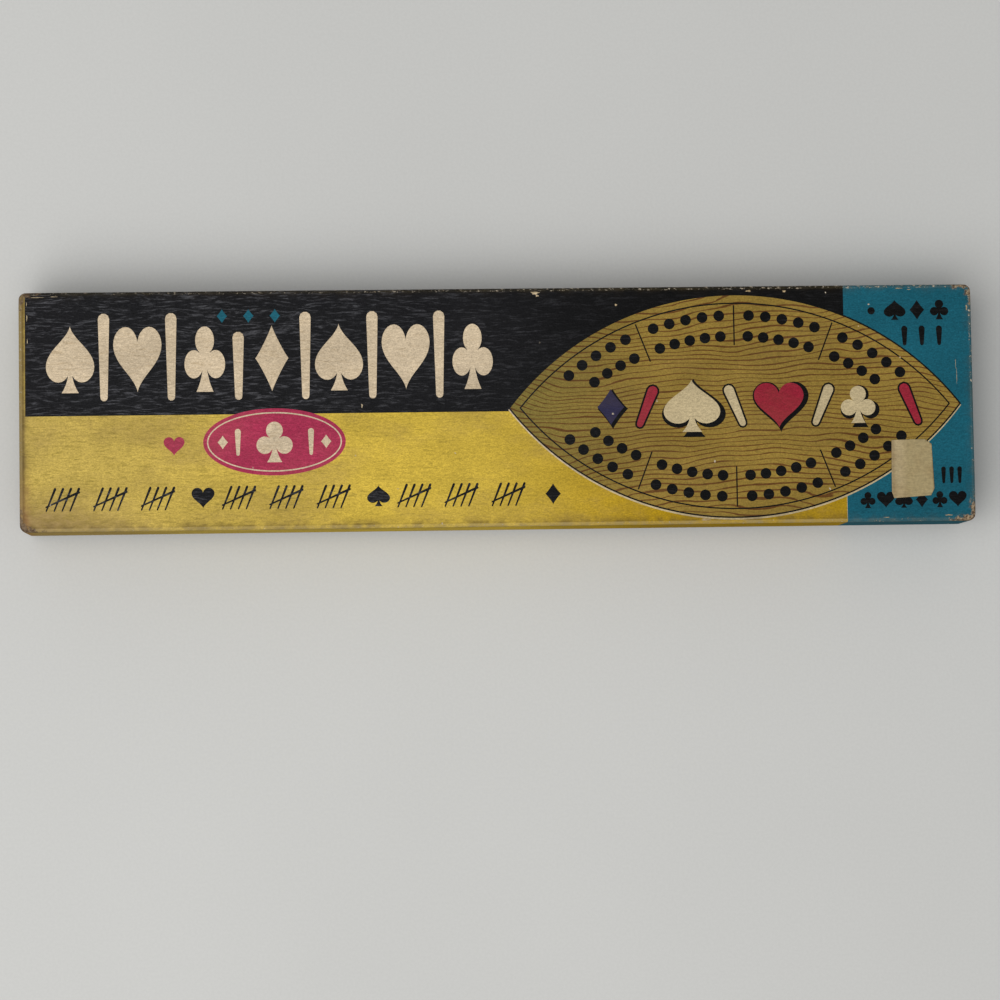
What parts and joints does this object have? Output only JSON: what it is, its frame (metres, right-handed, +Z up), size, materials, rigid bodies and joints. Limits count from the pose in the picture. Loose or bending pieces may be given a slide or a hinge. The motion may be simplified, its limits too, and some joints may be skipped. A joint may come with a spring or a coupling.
{
  "type": "cribbage game box with lift-off lid",
  "caption": "Flat paper-wrapped chipboard game box with a lift-off lid, holding a wooden cribbage board with a peg pocket and sliding cover.",
  "frame": {"origin": "middle of the underside of the base, on the surface that the box stands on", "axes": "+X along the box towards its teal end, +Y from front to back, +Z up through the lid"},
  "size_m": [0.3048, 0.0762, 0.0255],
  "materials": {
    "chipboard": "matt grey-brown chipboard",
    "stay_paper": "matt gummed kraft strip",
    "lid_paper": "worn satin printed wrap in black, mustard yellow and teal",
    "base_paper": "worn matt black wrap",
    "label_paper": "aged cream label paper",
    "board_wood": "satin lacquered hardwood",
    "cover_steel": "brushed steel sheet",
    "pin_brass": "dull brass",
    "peg_cream": "aged cream plastic",
    "peg_red": "red plastic",
    "leaflet_paper": "aged uncoated paper"
  },
  "bodies": {
    "base": {"base_board": "chipboard", "base_wrap": "base_paper", "base_stay_front_left": "stay_paper", "base_stay_front_right": "stay_paper", "base_stay_back_left": "stay_paper", "base_stay_back_right": "stay_paper"},
    "board": {"cribbage_board": "board_wood", "cover_stop_pin": "pin_brass"},
    "peg_cover": {"peg_cover": "cover_steel"},
    "peg_cream_1": {"peg_cream_1": "peg_cream"},
    "peg_cream_2": {"peg_cream_2": "peg_cream"},
    "peg_red_1": {"peg_red_1": "peg_red"},
    "peg_red_2": {"peg_red_2": "peg_red"},
    "leaflet": {"instruction_leaflet": "leaflet_paper"},
    "lid": {"lid_board": "chipboard", "lid_wrap": "lid_paper", "price_label": "label_paper", "lid_stay_front_left": "stay_paper", "lid_stay_front_right": "stay_paper", "lid_stay_back_left": "stay_paper", "lid_stay_back_right": "stay_paper"}
  },
  "joints": [
    {"name": "board_lift", "type": "slide", "parent": "base", "child": "board", "axis": [0, 0, 1], "range_m": [0, 0.05]},
    {"name": "leaflet_lift", "type": "slide", "parent": "board", "child": "leaflet", "axis": [0, 0, 1], "range_m": [0, 0.025]},
    {"name": "lid_lift", "type": "slide", "parent": "leaflet", "child": "lid", "axis": [0, 0, 1], "range_m": [0, 0.06]},
    {"name": "peg_cover_slide", "type": "slide", "parent": "board", "child": "peg_cover", "axis": [1, 0, 0], "range_m": [0, 0.078]},
    {"name": "peg_cream_1_play", "type": "slide", "parent": "board", "child": "peg_cream_1", "axis": [1, 0, 0], "range_m": [0, 0.005]},
    {"name": "peg_cream_2_play", "type": "slide", "parent": "board", "child": "peg_cream_2", "axis": [1, 0, 0], "range_m": [-0.005, 0]},
    {"name": "peg_red_1_play", "type": "slide", "parent": "board", "child": "peg_red_1", "axis": [1, 0, 0], "range_m": [0, 0.005]},
    {"name": "peg_red_2_play", "type": "slide", "parent": "board", "child": "peg_red_2", "axis": [1, 0, 0], "range_m": [-0.005, 0]}
  ]
}
